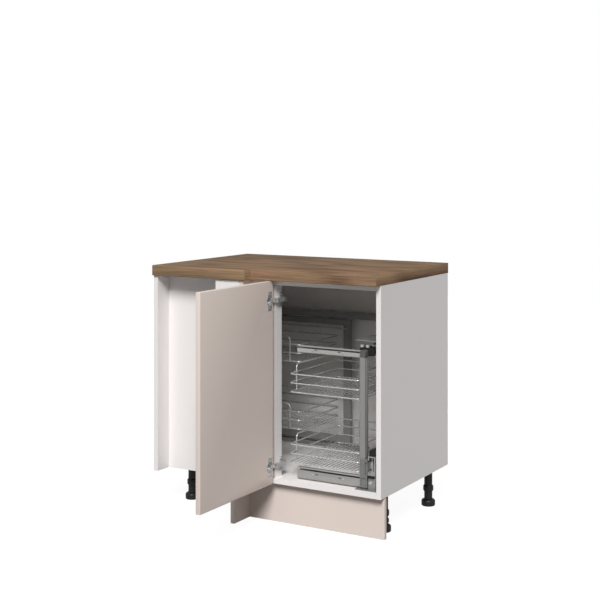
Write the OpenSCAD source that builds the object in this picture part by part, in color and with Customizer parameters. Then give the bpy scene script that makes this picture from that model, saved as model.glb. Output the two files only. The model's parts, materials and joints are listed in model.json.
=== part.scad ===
/* [Cabinet] */
// Width over both side panels
cabinet_w = 900; // [880:5:960]
// Depth of the right side panel, back board included
cabinet_d = 560; // [550:5:600]
// Height of the carcass, without legs and worktop
cabinet_h = 720; // [700:5:760]
// Thickness of the carcass boards
board_t = 18; // [15:1:19]
// Thickness of the hardboard back
back_t = 3; // [2.5:0.5:5]
// Height of the legs from the floor to the underside of the carcass
leg_h = 142; // [130:1:165]
// Depth of the front and rear top rails
rail_d = 100; // [70:5:120]
// Radius on the long edges of the boards
edge_r = 1; // [0.5:0.5:2]
// Diameter of the accessory holes in the right side panel
hole_d = 5; // [5:0.1:5.2]
// Distance from one accessory hole to the next
hole_pitch = 32; // [32:32:128]
// Height of the middle of the accessory holes
hole_z = 316; // [250:1:380]

/* [Blind corner] */
// Clear width of the door opening
opening_w = 400; // [392:2:408]
// Depth of the hinge stile at the left of the opening
stile_d = 46; // [46:2:60]
// Reach of the left side panel in front of the carcass
left_reach = 70; // [50:5:90]
// Width of the white spacer strip
spacer_w = 100; // [80:5:110]
// Distance of the corner filler's outer face from the left of the opening
filler_setback = 89; // [82:1:96]

/* [Worktop] */
// Thickness of the worktop
worktop_t = 38; // [28:1:40]
// Overhang of the worktop in front of the carcass, right of the step
worktop_front = 36; // [30:1:45]
// Overhang of the worktop in front of the left side panel, left of the step
worktop_left_front = 10; // [5:1:20]
// Reach of the worktop behind the carcass
worktop_back = 4; // [0:1:40]
// Overhang of the step over the corner filler's face
step_over = 11; // [5:1:20]
// Radius on the front arrises of the worktop
worktop_r = 4; // [2:0.5:8]

/* [Door] */
// Width of the door
door_w = 446; // [440:1:450]
// Reach of the closed door over the stile and the blind panel
door_lap = 30; // [28:1:34]
// Thickness of the door
door_t = 18; // [16:1:19]
// Gap above and below the door
door_gap = 2; // [1.5:0.5:4]
// Gap between the closed door and the carcass
door_stand = 3; // [2.5:0.25:4]
// Radius of the door's edges
door_r = 1.5; // [0.5:0.5:2]
// Height of the lower hinge above the door's lower edge
hinge_low = 63; // [60:1:110]
// Distance of the upper hinge below the door's upper edge
hinge_high = 69; // [60:1:110]

/* [Hinges] */
// Diameter of the hinge cup
cup_d = 35; // [35:0.5:36]
// Depth of the hinge cup
cup_depth = 11.5; // [11:0.5:12]
// Distance of the cup's centre from the door's edge
cup_inset = 22.5; // [22:0.5:24]
// Height of the cup's flange
cup_flange_h = 66; // [60:1:70]
// Width of the hinge arm
arm_w = 16; // [14:1:18]

/* [Plinth] */
// Thickness of the plinth boards
plinth_t = 16; // [15:1:19]
// Distance of the plinth behind the carcass front
plinth_set = 27; // [20:1:40]
// Gap between the plinth and the carcass
plinth_gap = 4; // [2:1:10]
// Reach of the plinth's return in front of the carcass
plinth_reach = 75; // [65:1:95]
// Distance of the return's face behind the corner filler's face
return_set = 34; // [25:1:40]

/* [Legs] */
// Distance of the right leg centres from the right side
leg_side = 48; // [44:1:60]
// Distance of the left leg centres from the left side
leg_side_left = 40; // [36:1:60]
// Distance of the front leg centres from the carcass front
leg_front = 118; // [105:1:130]
// Distance of the rear leg centres from the back
leg_rear = 71; // [60:1:90]
// Diameter of the leg's column
leg_d = 30; // [28:1:34]
// Diameter of the foot
foot_d = 51; // [48:1:60]
// Diameter of the foot's spindle
spindle_d = 18; // [14:1:20]
// Travel of the foot's screw
foot_travel = 20; // [10:1:25]

/* [Runners] */
// Distance of the runners from the right side panel
runner_off = 22; // [18:1:26]
// Width of the runner profiles
runner_w = 25; // [23:1:28]
// Wall of the runner profiles
runner_wall = 2; // [1.5:0.25:2.5]
// Running gap between the runner members
runner_gap = 0.4; // [0.3:0.05:0.5]
// Height of the lower runner
runner_low_h = 65; // [60:1:70]
// Height of the lower runner's underside
runner_low_z = 66; // [62:1:70]
// Height of the upper runner
runner_high_h = 30; // [28:1:36]
// Height of the upper runner's underside
runner_high_z = 478; // [470:1:490]
// Distance of the front of the pull-out behind the carcass front
pull_set = 30; // [26:1:36]
// Length of the runners
runner_len = 470; // [460:5:500]

/* [Front pull-out] */
// Width of the column
column_w = 20; // [16:1:24]
// Depth of the column
column_d = 22; // [18:1:26]
// Width of the carriages at the foot and the head of the column
carriage_w = 28; // [26:1:32]
// Gap between the carriages and the runners
carriage_gap = 3; // [2:1:5]
// Gap between the front baskets and the left of the opening
basket_side = 38; // [32:1:44]
// Depth of the front baskets
front_basket_d = 360; // [330:5:370]
// Height of the lower baskets' floor above the carcass underside
front_floor_z = 74; // [72:1:84]
// Height of one basket above the other
basket_pitch = 249; // [240:1:260]
// Height of the top bar's underside
bar_high_z = 465; // [458:1:468]
// Height of the top bar
bar_high_h = 25; // [22:1:27]
// Height of the bottom bar's underside
bar_low_z = 21; // [20:1:26]
// Height of the bottom bar
bar_low_h = 41; // [34:1:43]
// Depth of both bars
bar_d = 20; // [16:1:22]

/* [Rear pull-out] */
// Distance of the rear baskets from the left side panel
rear_side = 32; // [25:1:50]
// Width of the rear baskets
rear_basket_w = 414; // [380:2:416]
// Distance of the rear baskets' front behind the carcass front
rear_front = 210; // [200:1:240]
// Depth of the rear baskets
rear_basket_d = 300; // [270:5:302]
// Height of the lower rear basket's floor
rear_floor_z = 148; // [140:1:160]
// Width of the rear frame's posts
post_w = 31; // [26:1:40]
// Thickness of the rear frame
post_t = 12; // [10:1:12]
// Height of the rear frame's underside
rear_frame_z = 44; // [40:1:48]
// Height of the rear frame's top
rear_frame_top = 522; // [510:1:526]
// Height of the top track's underside
track_z = 528; // [524:1:540]
// Height of the top track
track_h = 22; // [20:1:26]

/* [Baskets] */
// Diameter of the basket's rim wires
rim_wire = 5; // [4:0.5:6]
// Diameter of the basket's floor wires
floor_wire = 3; // [2.5:0.5:3.5]
// Spacing of the floor wires
wire_pitch = 15; // [14:1:24]
// Distance between one side rail and the next
rail_pitch = 32; // [28:1:34]
// Height of the gallery above the basket's floor
gallery_h = 91; // [84:1:94]
// Corner radius of the baskets
basket_r = 14; // [10:1:18]

/* [Hidden] */
$fn = 40;

// Overlap that makes one cut or weld clean
eps = 0.5;
// Carcass: X runs from -cabinet_w to 0, Y from the front to the back, Z up from the underside
left = -cabinet_w;
inner_left = left + board_t;
inner_right = -board_t;
opening_left = inner_right - opening_w;
back_y = cabinet_d - back_t;
top_z = cabinet_h - board_t;
filler_face = opening_left - filler_setback;
worktop_front_left = left_reach + worktop_left_front;
step_x = filler_face + step_over;
return_face = filler_face - return_set;

hole_setback = 37;
hole_deep = 12;

// Door: closed it covers the opening and the stile
door_side_gap = 2;
door_bottom = door_gap;
door_top = cabinet_h - door_gap;
door_edge_closed = opening_left - door_lap;
pivot_edge = 10;
pivot_face = 20;
pivot_x = door_edge_closed + pivot_edge;
pivot_y = -door_stand - pivot_face;
door_face_x = pivot_x + pivot_face;
door_hinge_y = pivot_y + pivot_edge;
door_free_y = door_hinge_y - door_w;
hinge_z_low = door_bottom + hinge_low;
hinge_z_high = door_top - hinge_high;
cup_y = door_hinge_y - cup_inset;
hinge_levels = [hinge_z_low, hinge_z_high];
cup_gap = 0.1;
flange_t = 1.2;
flange_w = 12;
arm_pivot = [pivot_x + 24.4, pivot_y + 11.7];
link_len = 16.2;
link_t = 1.5;
link_eye = 3.8;
link_turn = 250;
link_w = arm_w - 5;
link_pin = 2;
arm_t = 1.6;
arm_gap = 0.7;
arm_side = 1.4;
arm_out = 12;
arm_len = 58;
arm_rail = 5;
plate_front = 29;
plate_back = 45;
ear_t = 2;
arm_plate = 2.5;

// Plinth
plinth_h = leg_h - plinth_gap;

// Legs
foot_h = 24;
flange_h = 18;
socket_d = 66;
collar_d = 38;
collar_h = 24;
collar_z = -66;
column_low = -leg_h + foot_h;
spindle_gap = 0.4;
spindle_in = 38;
leg_mid_x = opening_left - 52;

// Pull-out
runner_x1 = inner_right - runner_off;
runner_x0 = runner_x1 - runner_w;
carriage_x1 = runner_x0 - carriage_gap;
column_x0 = carriage_x1 - carriage_w;
column_x1 = column_x0 + column_w;
column_low_z = runner_low_z + runner_low_h - 5;
carriage_low_top = column_low_z - 5;
column_top_z = bar_high_z + 3;
carriage_d = 34;
head_h = 26;
head_r = 7;
pull_y = pull_set;
slide_out = 3;
slide_back = 24;
front_x0 = opening_left + basket_side;
front_x1 = column_x0;
front_y1 = pull_y + front_basket_d;
gallery_front = 52;
bar_x0 = opening_left + 74;
bar_wall = 2;
bar_r = 5;
bar_groove = 6;
bar_screw_h = 0.54;
bar_screw_in = 64;
rear_column_in = 60;
rear_column_y = front_y1 - rear_column_in;
cap_t = 7;
cap_r = 10;
cap_low_z = bar_high_z + 6;
cap_high_z = bar_high_z + bar_high_h + 10;
nut_d = 13;
nut_h = 8;
// The upper runner starts behind the carriage's black head
runner_high_back = carriage_d;

// Rear unit
rear_x0 = inner_left + rear_side;
rear_x1 = rear_x0 + rear_basket_w;
rear_y1 = rear_front + rear_basket_d;
rear_frame_y = rear_y1;
rear_frame_y1 = rear_frame_y + post_t;
track_d = back_y - rear_frame_y1 - 2;
track_low_h = 16;
track_t = 2;
rear_reach = 48;
post_x1 = rear_x1 + rear_reach;
gallery_side = 45;

// Origin: middle of the whole object's floor rectangle, with the door open as drawn
y_low = min(door_free_y, -worktop_front_left);
y_high = cabinet_d + worktop_back;

white = [0.93, 0.93, 0.92];
beige = [0.85, 0.80, 0.76];
walnut = [0.52, 0.42, 0.34];
steel = [0.66, 0.66, 0.65];
chrome = [0.80, 0.80, 0.81];
satin = [0.57, 0.57, 0.55];
black = [0.07, 0.07, 0.07];

module home() {
    translate([cabinet_w / 2, -(y_low + y_high) / 2, leg_h]) children();
}

// A box given by its two ends along each axis
module span(x, y, z) {
    translate([x[0], y[0], z[0]]) cube([x[1] - x[0], y[1] - y[0], z[1] - z[0]]);
}

// A flat rectangle with true arcs at its corners
module round_rect(x, y, r) {
    translate([x[0] + r, y[0]]) square([x[1] - x[0] - 2 * r, y[1] - y[0]]);
    translate([x[0], y[0] + r]) square([x[1] - x[0], y[1] - y[0] - 2 * r]);
    for (cx = [x[0] + r, x[1] - r], cy = [y[0] + r, y[1] - r]) translate([cx, cy]) circle(r);
}

// A board on edge whose upright arrises are rounded
module upright_board(x, y, z, r) {
    translate([0, 0, z[0]]) linear_extrude(z[1] - z[0]) round_rect(x, y, r);
}

// Wires along the three axes
module wire_x(x, y, z, d) {
    translate([x[0], y, z]) rotate([0, 90, 0]) cylinder(d = d, h = x[1] - x[0]);
}
module wire_y(x, y, z, d) {
    translate([x, y[0], z]) rotate([-90, 0, 0]) cylinder(d = d, h = y[1] - y[0]);
}
module wire_z(x, y, z, d) {
    translate([x, y, z[0]]) cylinder(d = d, h = z[1] - z[0]);
}
// A screw head with a hexagon socket, standing on the plane z = 0
module screw_head(d, h) {
    difference() {
        cylinder(d = d, h = h);
        translate([0, 0, h / 2]) cylinder(d = d * 0.45, h = h, $fn = 6);
    }
}
// A quarter bend in the floor plane, from the given start angle
module bend(x, y, z, r, d, from) {
    translate([x, y, z]) rotate([0, 0, from]) rotate_extrude(angle = 90) translate([r, 0]) circle(d = d);
}

// Carcass boards
module side_panel_right() {
    color(white) difference() {
        upright_board([inner_right, 0], [0, back_y], [0, cabinet_h], edge_r);
        for (z = [-hole_pitch / 2, hole_pitch / 2])
            translate([inner_right - eps, hole_setback, hole_z + z]) rotate([0, 90, 0])
                cylinder(d = hole_d, h = hole_deep + eps);
    }
}
module side_panel_left() {
    color(white) upright_board([left, inner_left], [-left_reach, back_y], [0, cabinet_h], edge_r);
}
module bottom_panel() {
    color(white) span([inner_left, inner_right], [0, back_y], [0, board_t]);
}
module top_rail_front() {
    color(white) span([inner_left, inner_right], [0, rail_d], [top_z, cabinet_h]);
}
module top_rail_rear() {
    color(white) span([inner_left, inner_right], [back_y - rail_d, back_y], [top_z, cabinet_h]);
}
module back_panel() {
    color(white) span([left, 0], [back_y, cabinet_d], [0, cabinet_h]);
}
module blind_panel() {
    color(white) upright_board([inner_left, opening_left - board_t], [0, board_t], [board_t, top_z], edge_r);
}
// The door hangs on this board, which stands edge on beside the blind panel
module hinge_stile() {
    color(white) upright_board([opening_left - board_t, opening_left], [0, stile_d], [board_t, top_z], edge_r);
}
module spacer_strip() {
    color(white) upright_board([filler_face - door_t - spacer_w, filler_face - door_t],
        [-left_reach, board_t - left_reach], [door_bottom, door_top], edge_r);
}
module filler_side() {
    color(beige) upright_board([filler_face - door_t, filler_face], [-left_reach, 0],
        [door_bottom, door_top], edge_r);
}
module filler_front() {
    color(beige) upright_board([filler_face, door_edge_closed - door_side_gap],
        [-board_t, 0], [door_bottom, door_top], edge_r);
}

// The worktop is one board with a step, its front arrises rounded along X
module worktop_strip(x, y_front) {
    translate([x[0], 0, 0]) rotate([90, 0, 90]) linear_extrude(x[1] - x[0])
        round_rect([y_front, y_front + 60], [cabinet_h, cabinet_h + worktop_t], worktop_r);
    span(x, [y_front + 30, cabinet_d + worktop_back], [cabinet_h, cabinet_h + worktop_t]);
}
module worktop() {
    color(walnut) union() {
        worktop_strip([left, step_x], -worktop_front_left);
        worktop_strip([step_x, 0], -worktop_front);
    }
}

// Door, drawn open at a right angle
module door() {
    color(beige) difference() {
        upright_board([door_face_x - door_t, door_face_x], [door_free_y, door_hinge_y],
            [door_bottom, door_top], door_r);
        for (z = hinge_levels) translate([door_face_x - cup_depth - cup_gap, cup_y, z])
            rotate([0, 90, 0]) cylinder(d = cup_d + 2 * cup_gap, h = cup_depth + cup_gap + eps);
    }
}

// Hinges: cup and flange on the door, arm in the opening, one link between them
module hinge_cup(z) {
    color(steel) difference() {
        union() {
            translate([door_face_x - cup_depth, cup_y, z]) rotate([0, 90, 0])
                cylinder(d = cup_d, h = cup_depth);
            translate([door_face_x, 0, 0]) rotate([90, 0, 90]) linear_extrude(flange_t)
                round_rect([cup_y - flange_w, cup_y + flange_w],
                    [z - cup_flange_h / 2, z + cup_flange_h / 2], 4);
            translate([door_face_x, cup_y, z]) rotate([0, 90, 0]) cylinder(d = cup_d + 3, h = flange_t);
        }
        translate([door_face_x - cup_depth + 1, cup_y, z]) rotate([0, 90, 0])
            cylinder(d = cup_d - 2, h = cup_depth + flange_t + eps);
        span([door_face_x, door_face_x + flange_t + eps], [cup_y - cup_d, cup_y + cup_d],
            [z - arm_w / 2 - 0.7, z + arm_w / 2 + 0.7]);
        for (s = [-1, 1]) translate([door_face_x - eps, cup_y, z + s * (cup_flange_h / 2 - 8)])
            rotate([0, 90, 0]) cylinder(d = 4.4, h = flange_t + 2 * eps);
    }
}
module hinge_cup_lower() {
    hinge_cup(hinge_z_low);
}
module hinge_cup_upper() {
    hinge_cup(hinge_z_high);
}
module cup_screws() {
    color(steel) for (z = hinge_levels, s = [-1, 1])
        translate([door_face_x + flange_t, cup_y, z + s * (cup_flange_h / 2 - 8)]) rotate([0, 90, 0])
            screw_head(7.5, 0.8);
}
module hinge_link(z) {
    color(steel) translate([arm_pivot[0], arm_pivot[1], z - link_w / 2]) rotate([0, 0, link_turn])
        linear_extrude(link_w) difference() {
            union() {
                circle(d = link_eye);
                translate([0, -link_t / 2]) square([link_len, link_t]);
                translate([link_len, 0]) circle(d = link_t);
            }
            circle(d = link_pin + 0.1);
        }
}
module hinge_link_lower() {
    hinge_link(hinge_z_low);
}
module hinge_link_upper() {
    hinge_link(hinge_z_high);
}
// The arm's tongue runs in front of the stile, its channel is held by a plate on the stile's face
module hinge_arm(z) {
    ear_x = arm_pivot[0];
    ear_y = arm_pivot[1];
    x = [opening_left + arm_side, opening_left + arm_side + arm_out];
    tongue = [-arm_gap - arm_t, -arm_gap];
    side = [z - arm_w / 2, z + arm_w / 2];
    color(steel) union() {
        span([ear_x - link_eye / 2, x[1]], tongue, side);
        for (s = [-1, 1]) translate([ear_x, 0, z + s * (link_w / 2 + 0.3 + ear_t / 2) - ear_t / 2]) {
            translate([0, ear_y, 0]) cylinder(d = link_eye, h = ear_t);
            translate([-link_eye / 2, ear_y, 0]) cube([link_eye, -arm_gap - ear_y, ear_t]);
        }
        translate([ear_x, ear_y, z - arm_w / 2 + 0.4]) cylinder(d = link_pin, h = arm_w - 0.8);
        difference() {
            span(x, [tongue[0], arm_len], side);
            span([x[0] - 1, x[1] - arm_t], [tongue[1], arm_len + 1], [side[0] + arm_t, side[1] - arm_t]);
        }
        span([opening_left, x[1] - arm_t + 0.2], [12, arm_len - 4], [z - arm_rail, z + arm_rail]);
        span([opening_left, opening_left + arm_plate], [plate_front, plate_back], [z - 25, z + 25]);
    }
}
module hinge_arm_lower() {
    hinge_arm(hinge_z_low);
}
module hinge_arm_upper() {
    hinge_arm(hinge_z_high);
}
module hinge_screws() {
    y = (plate_front + plate_back) / 2;
    color(steel) for (z = hinge_levels) {
        for (s = [-1, 1]) translate([opening_left + arm_plate, y, z + s * 18]) rotate([0, 90, 0])
            screw_head(8, 2.2);
        translate([opening_left + arm_side + arm_out, y, z]) rotate([0, 90, 0]) screw_head(7, 0.8);
    }
}

// Plinth
module plinth_front() {
    color(beige) upright_board([return_face, 0], [plinth_set, plinth_set + plinth_t],
        [-leg_h, -leg_h + plinth_h], edge_r);
}
module plinth_return() {
    color(beige) upright_board([return_face - plinth_t, return_face],
        [-plinth_reach, plinth_set + plinth_t], [-leg_h, -leg_h + plinth_h], edge_r);
}
module plinth_corner() {
    z = [-leg_h + 20, -leg_h + plinth_h - 20];
    x = return_face + eps;
    y = plinth_set + plinth_t;
    color(black) difference() {
        union() {
            span([x, x + 28], [y, y + 2], z);
            span([return_face, return_face + 2], [y, y + 24], z);
        }
        for (h = [z[0] + 15, z[1] - 15]) translate([x + 18, y - eps, h]) rotate([-90, 0, 0])
            cylinder(d = 4, h = 3 + eps);
    }
}
module plinth_clip(x) {
    z = (column_low + collar_z - collar_h) / 2;
    y0 = plinth_set + plinth_t;
    ring = leg_d / 2 + 0.3;
    color(black) translate([0, 0, z - 6]) difference() {
        union() {
            translate([x - 20, y0, -14]) cube([40, 3, 40]);
            translate([x - 6, y0, 0]) cube([12, leg_front - ring - 1 - y0, 12]);
            translate([x, leg_front, 0]) cylinder(r = ring + 3, h = 12);
        }
        translate([x, leg_front, -eps]) cylinder(r = ring, h = 12 + 2 * eps);
        translate([x - ring * 0.8, leg_front + ring * 0.5, -eps]) cube([ring * 1.6, ring + 4, 12 + 2 * eps]);
        for (s = [-1, 1]) translate([x + s * 13, y0 - eps, 6]) rotate([-90, 0, 0]) cylinder(d = 4, h = 5);
    }
}
module plinth_clips() {
    plinth_clip(-leg_side);
    plinth_clip(leg_mid_x);
}

// Legs: a socket and column under the bottom panel, a foot that screws in and out
module leg(x, y) {
    color(black) translate([x, y, 0]) difference() {
        union() {
            rotate_extrude() polygon([[0, 0], [socket_d / 2, 0], [socket_d / 2, -6], [leg_d / 2 + 8, -14],
                [leg_d / 2 + 3, -flange_h], [0, -flange_h]]);
            translate([0, 0, column_low]) cylinder(d = leg_d, h = -column_low);
            translate([0, 0, collar_z]) rotate_extrude() polygon([[0, 0], [collar_d / 2 - 3, 0],
                [collar_d / 2, -4], [collar_d / 2, 6 - collar_h], [collar_d / 2 - 2, 2 - collar_h],
                [collar_d / 2 - 4, -collar_h], [0, -collar_h]]);
        }
        translate([0, 0, column_low - eps]) cylinder(d = spindle_d + 2 * spindle_gap, h = spindle_in + 4 + eps);
        for (a = [30:90:359]) rotate([0, 0, a]) translate([socket_d / 2 - 5, 0, -flange_h])
            cylinder(d = 4.5, h = flange_h + 1);
    }
}
module foot(x, y) {
    color(black) translate([x, y, 0]) union() {
        translate([0, 0, -leg_h]) rotate_extrude() polygon([[0, 0], [foot_d / 2 - 2, 0], [foot_d / 2, 2],
            [foot_d / 2, foot_h - 6], [foot_d / 2 - 1.5, foot_h - 3], [foot_d / 2 - 5, foot_h - 0.3],
            [0, foot_h - 0.3]]);
        translate([0, 0, column_low - 1]) cylinder(d = spindle_d, h = spindle_in + 1);
    }
}
leg_right = -leg_side;
leg_left = left + leg_side_left;
leg_back = cabinet_d - leg_rear;
module leg_front_right() {
    leg(leg_right, leg_front);
}
module leg_front_middle() {
    leg(leg_mid_x, leg_front);
}
module leg_front_left() {
    leg(leg_left, leg_front);
}
module leg_rear_right() {
    leg(leg_right, leg_back);
}
module leg_rear_left() {
    leg(leg_left, leg_back);
}
module foot_front_right() {
    foot(leg_right, leg_front);
}
module foot_front_middle() {
    foot(leg_mid_x, leg_front);
}
module foot_front_left() {
    foot(leg_left, leg_front);
}
module foot_rear_right() {
    foot(leg_right, leg_back);
}
module foot_rear_left() {
    foot(leg_left, leg_back);
}

// A lipped channel open towards -X, drawn in X and Z and run along Y
module channel(x, y, z, wall, lip) {
    translate([0, y[1], 0]) rotate([90, 0, 0]) linear_extrude(y[1] - y[0]) difference() {
        translate([x[0], z[0]]) square([x[1] - x[0], z[1] - z[0]]);
        translate([x[0] + wall, z[0] + wall]) square([x[1] - x[0] - 2 * wall, z[1] - z[0] - 2 * wall]);
        translate([x[0] - 1, z[0] + lip]) square([wall + 2, z[1] - z[0] - 2 * lip]);
    }
}
runner_lip = 0.2;
function runner_levels(z, h) = [z, z + h];
module runner(z, h, back) {
    color(steel) channel([runner_x0, runner_x1],
        [pull_y + slide_out + back, pull_y + slide_out + runner_len],
        runner_levels(z, h), runner_wall, h * runner_lip);
}
mid_in = runner_wall + runner_gap;
module slide_middle(z, h, back) {
    color(satin) channel([runner_x0 + mid_in, runner_x1 - mid_in],
        [pull_y + slide_out + slide_back + back, pull_y + slide_out + runner_len],
        [z + mid_in, z + h - mid_in], runner_wall, h * runner_lip - mid_in);
}
bar_in = 2 * mid_in;
web_h = 0.4;
web_back = 100;
module slide_inner(z, h, back) {
    mid = z + h / 2;
    y0 = pull_y + slide_back + back;
    color(satin) union() {
        span([runner_x0 + bar_in + 1, runner_x1 - bar_in - 1], [y0, pull_y + runner_len],
            [z + bar_in, z + h - bar_in]);
        span([carriage_x1, runner_x0 + bar_in + 1 + eps], [y0, pull_y + runner_len - web_back],
            [mid - h * web_h / 2, mid + h * web_h / 2]);
    }
}
module runner_lower() {
    runner(runner_low_z, runner_low_h, 0);
}
module runner_upper() {
    runner(runner_high_z, runner_high_h, runner_high_back);
}
module slide_middle_lower() {
    slide_middle(runner_low_z, runner_low_h, 0);
}
module slide_middle_upper() {
    slide_middle(runner_high_z, runner_high_h, runner_high_back);
}
module slide_inner_lower() {
    slide_inner(runner_low_z, runner_low_h, 0);
}
module slide_inner_upper() {
    slide_inner(runner_high_z, runner_high_h, runner_high_back);
}
// Angle brackets: feet on the bottom panel, flanges on the right side panel
bracket_ys = [pull_y + 4, pull_y + runner_len - 60];
hanger_ys = [pull_y + runner_high_back + 6, bracket_ys[1]];
hanger_rise = 8;
bracket_w = 28;
plate_t = 2.5;
plate_y = [pull_y + 22, pull_y + 160];
plate_z = runner_high_z + runner_high_h + 14;
module bracket(y, hanger_y) {
    wy = [y, y + bracket_w];
    hy = [hanger_y, hanger_y + bracket_w];
    low_top = runner_low_z + runner_low_h;
    high_top = runner_high_z + runner_high_h;
    difference() {
        union() {
            span([runner_x0 - 42, inner_right], [y - 21, y + 12], [board_t, board_t + plate_t]);
            span([runner_x0, runner_x1], [y, y + plate_t], [board_t, runner_low_z]);
            span([runner_x0, runner_x1 + plate_t], wy, [runner_low_z - plate_t, runner_low_z]);
            span([runner_x1, runner_x1 + plate_t], wy, [board_t, low_top]);
            span([runner_x1, inner_right], wy, [low_top - plate_t, low_top]);
            span([inner_right - plate_t, inner_right], wy, [runner_low_z + 20, low_top]);
        }
        translate([runner_x0 + runner_w / 2, y - 9, board_t - 1]) cylinder(d = 7, h = plate_t + 2);
        translate([runner_x0 - 30, y - 9, board_t - 1]) cylinder(d = 7, h = plate_t + 2);
    }
    span([column_x0, inner_right], hy, [high_top + hanger_rise, high_top + hanger_rise + plate_t]);
    span([runner_x0, runner_x0 + plate_t], hy, [high_top, high_top + hanger_rise + eps]);
    span([runner_x1, runner_x1 + plate_t], hy, [runner_high_z, high_top + hanger_rise + eps]);
    span([inner_right - plate_t, inner_right], hy, [runner_high_z - 30, high_top + hanger_rise + plate_t]);
}
module runner_brackets() {
    color(steel) {
        for (k = [0, 1]) bracket(bracket_ys[k], hanger_ys[k]);
        span([column_x0 - 29, inner_right], plate_y, [plate_z, plate_z + plate_t]);
        span([inner_right - plate_t, inner_right], plate_y, [plate_z - 3, plate_z + plate_t]);
    }
}
module runner_caps() {
    y = [pull_y + slide_out - cap_t, pull_y + slide_out];
    z = runner_low_z + runner_low_h;
    color(black) {
        span([runner_x0, runner_x1], y, [runner_low_z - 7, runner_low_z + 1]);
        translate([0, pull_y + 30, 0]) rotate([90, 0, 0]) linear_extrude(18)
            polygon([[runner_x0, z], [runner_x1 - 1, z], [runner_x1 - 1, z + 29], [runner_x1 - 4, z + 31],
                [runner_x0, z + 19]]);
    }
}
// Screws on the front uprights of the brackets and on the flanges at the side panel
module runner_screws() {
    color(steel) {
        for (y = bracket_ys) {
            translate([runner_x0 + 8, y, (board_t + runner_low_z) / 2]) rotate([90, 0, 0])
                screw_head(11, 2.6);
            translate([inner_right - plate_t, y + 8, runner_low_z + runner_low_h - 21])
                rotate([0, -90, 0]) screw_head(8, 2.4);
        }
        for (y = hanger_ys) translate([inner_right - plate_t, y + 8, runner_high_z - 18])
            rotate([0, -90, 0]) screw_head(8, 2.4);
    }
}

// Front pull-out: two carriages, two uprights, two bars and two baskets
module carriage_lower() {
    front = [pull_y, pull_y + carriage_d];
    rear = [rear_column_y, rear_column_y + column_d];
    pocket_z = bar_low_z + bar_low_h + 5;
    color(satin) union() {
        difference() {
            span([column_x0, carriage_x1], front, [bar_low_z + 3, carriage_low_top]);
            span([column_x1, carriage_x1 + 1], [pull_y - 1, pull_y + 5], [pocket_z, carriage_low_top - 10]);
            span([column_x0 + 4, carriage_x1 - 5], [pull_y - 1, pull_y + 3],
                [bar_low_z + 8, bar_low_z + bar_low_h - 6]);
        }
        span([column_x0, carriage_x1], rear, [runner_low_z + 8, carriage_low_top]);
    }
}
// Carrier of the upper runner: a rounded black head behind the column, a block along the runner's web
module carriage_upper() {
    color(black) union() {
        translate([0, pull_y + carriage_d, 0]) rotate([90, 0, 0]) linear_extrude(carriage_d - column_d)
            round_rect([column_x0 - 12, runner_x0 + 15], [cap_low_z, cap_high_z], cap_r);
        span([column_x0, carriage_x1], [pull_y + column_d, pull_y + slide_back + runner_high_back + 14],
            [cap_low_z + 4, cap_high_z - 1]);
        span([column_x0, carriage_x1], [rear_column_y, rear_column_y + column_d],
            [column_top_z, cap_high_z - 1]);
    }
}
module upright(y) {
    difference() {
        translate([0, 0, column_low_z]) linear_extrude(column_top_z - column_low_z)
            round_rect([column_x0, column_x1], [y, y + column_d], 2);
        translate([0, 0, column_low_z - eps]) linear_extrude(column_top_z - column_low_z + 2 * eps)
            round_rect([column_x0 + 2, column_x1 - 2], [y + 2, y + column_d - 2], 1);
    }
    span([column_x0 + 1, column_x1 - 1], [y + 1, y + column_d - 1], [carriage_low_top, column_low_z + 2]);
}
module column() {
    color(satin) union() {
        upright(pull_y);
        translate([0, pull_y + column_d, 0]) rotate([90, 0, 0]) linear_extrude(column_d)
            round_rect([column_x0, column_x1 + 2], [column_top_z - 1, column_top_z - 1 + head_h], head_r);
    }
}
module column_rear() {
    color(satin) upright(rear_column_y);
}
// A bar folded from sheet: round lower edge, a groove under the top flange, adjusting slots
bar_screws = [bar_x0 + bar_screw_in, column_x0 - bar_screw_in];
slot_x = 14;
slot_d = 4.4;
module bar_outline(y, z, r) {
    translate([y[0] + r, z[0]]) square([y[1] - y[0] - r, z[1] - z[0]]);
    translate([y[0], z[0] + r]) square([y[1] - y[0], z[1] - z[0] - r]);
    translate([y[0] + r, z[0] + r]) circle(r);
}
module frame_bar(z, h) {
    y = [pull_y, pull_y + bar_d];
    w = bar_wall;
    color(satin) difference() {
        translate([bar_x0, 0, 0]) rotate([90, 0, 90]) linear_extrude(column_x0 - bar_x0) difference() {
            bar_outline(y, [z, z + h], bar_r);
            bar_outline([y[0] + w, y[1] - w], [z + w, z + h - w], bar_r - w);
            translate([y[0] - 1, z + h - w - bar_groove]) square([w + 2, bar_groove]);
        }
        for (s = [0, 1]) translate([bar_screws[s] + (1 - 2 * s) * slot_x, y[0] - 1, z + bar_screw_h * h])
            rotate([-90, 0, 0]) {
                cylinder(d = slot_d, h = w + 2);
                translate([-5, -slot_d / 2, 0]) cube([5, slot_d, w + 2]);
                translate([-5, 0, 0]) cylinder(d = slot_d, h = w + 2);
            }
    }
}
module frame_bar_upper() {
    frame_bar(bar_high_z, bar_high_h);
}
module frame_bar_lower() {
    frame_bar(bar_low_z, bar_low_h);
}
module frame_screws() {
    color(chrome) {
        for (x = bar_screws, zh = [[bar_high_z, bar_high_h], [bar_low_z, bar_low_h]])
            translate([x, pull_y, zh[0] + zh[1] * bar_screw_h]) rotate([90, 0, 0]) screw_head(7, 2.4);
        for (x = [column_x0 - 5, column_x1 - 3])
            translate([x, pull_y + (column_d + carriage_d) / 2, cap_high_z]) screw_head(nut_d, nut_h);
    }
}

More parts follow.
